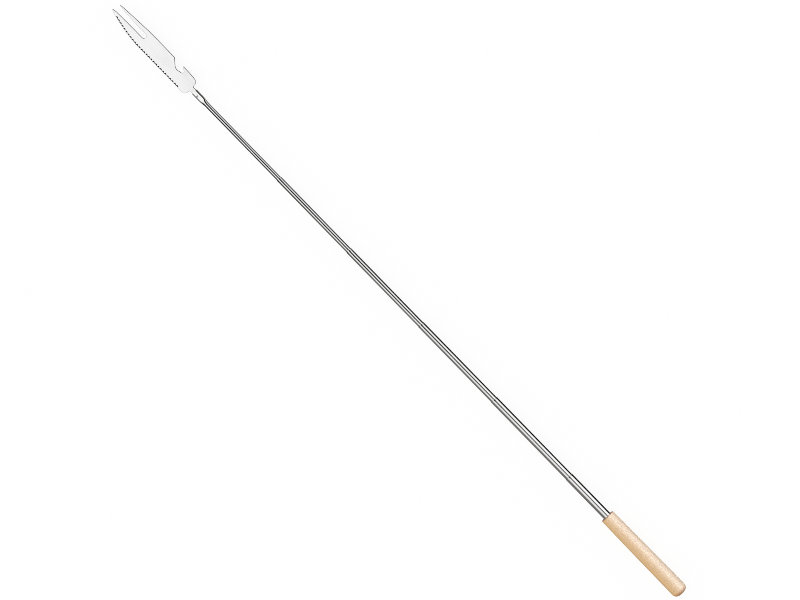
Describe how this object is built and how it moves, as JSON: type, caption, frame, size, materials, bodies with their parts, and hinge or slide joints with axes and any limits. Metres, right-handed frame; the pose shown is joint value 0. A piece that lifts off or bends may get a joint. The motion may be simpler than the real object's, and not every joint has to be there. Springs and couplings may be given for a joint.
{
  "type": "telescopic knife fork",
  "caption": "Telescopic two-tine knife-fork with a serrated edge, a cap-lifter notch and a turned wooden handle, shown drawn out.",
  "frame": {"origin": "on the shaft's axis, half way along the drawn-out fork", "axes": "+X along the shaft towards the tines, +Y across the blade towards its serrated edge, +Z out of the blade's flat side"},
  "size_m": [0.9018, 0.0219, 0.0184],
  "materials": {
    "blade_steel": "satin",
    "tube_steel": "polished",
    "spring_steel": "satin",
    "rivet_steel": "dull",
    "brass": "turned",
    "beech": "sanded and waxed"
  },
  "bodies": {
    "handle": {"handle": "beech", "tube_end_plug": "brass", "tube_6": "tube_steel"},
    "springs_5": {"friction_spring_5_a": "spring_steel", "friction_spring_5_b": "spring_steel"},
    "section_5": {"tube_5": "tube_steel", "stop_bush_5": "brass"},
    "springs_4": {"friction_spring_4_a": "spring_steel", "friction_spring_4_b": "spring_steel"},
    "section_4": {"tube_4": "tube_steel", "stop_bush_4": "brass"},
    "springs_3": {"friction_spring_3_a": "spring_steel", "friction_spring_3_b": "spring_steel"},
    "section_3": {"tube_3": "tube_steel", "stop_bush_3": "brass"},
    "springs_2": {"friction_spring_2_a": "spring_steel", "friction_spring_2_b": "spring_steel"},
    "section_2": {"tube_2": "tube_steel", "stop_bush_2": "brass"},
    "springs_1": {"friction_spring_1_a": "spring_steel", "friction_spring_1_b": "spring_steel"},
    "section_1": {"tube_1": "tube_steel", "stop_bush_1": "brass", "blade": "blade_steel", "tang_rivet": "rivet_steel"}
  },
  "joints": [
    {"name": "slide_5", "type": "slide", "parent": "handle", "child": "springs_5", "axis": [1, 0, 0], "range_m": [-0.1135, 0]},
    {"name": "turn_5", "type": "hinge", "parent": "springs_5", "child": "section_5", "pos_m": [-0.27947, 0, 0], "axis": [1, 0, 0], "continuous": true},
    {"name": "slide_4", "type": "slide", "parent": "section_5", "child": "springs_4", "axis": [1, 0, 0], "range_m": [-0.1105, 0]},
    {"name": "turn_4", "type": "hinge", "parent": "springs_4", "child": "section_4", "pos_m": [-0.16068, 0, 0], "axis": [1, 0, 0], "continuous": true},
    {"name": "slide_3", "type": "slide", "parent": "section_4", "child": "springs_3", "axis": [1, 0, 0], "range_m": [-0.1074, 0]},
    {"name": "turn_3", "type": "hinge", "parent": "springs_3", "child": "section_3", "pos_m": [-0.04498, 0, 0], "axis": [1, 0, 0], "continuous": true},
    {"name": "slide_2", "type": "slide", "parent": "section_3", "child": "springs_2", "axis": [1, 0, 0], "range_m": [-0.1059, 0]},
    {"name": "turn_2", "type": "hinge", "parent": "springs_2", "child": "section_2", "pos_m": [0.06922, 0, 0], "axis": [1, 0, 0], "continuous": true},
    {"name": "slide_1", "type": "slide", "parent": "section_2", "child": "springs_1", "axis": [1, 0, 0], "range_m": [-0.1025, 0]},
    {"name": "turn_1", "type": "hinge", "parent": "springs_1", "child": "section_1", "pos_m": [0.18002, 0, 0], "axis": [1, 0, 0], "continuous": true}
  ]
}
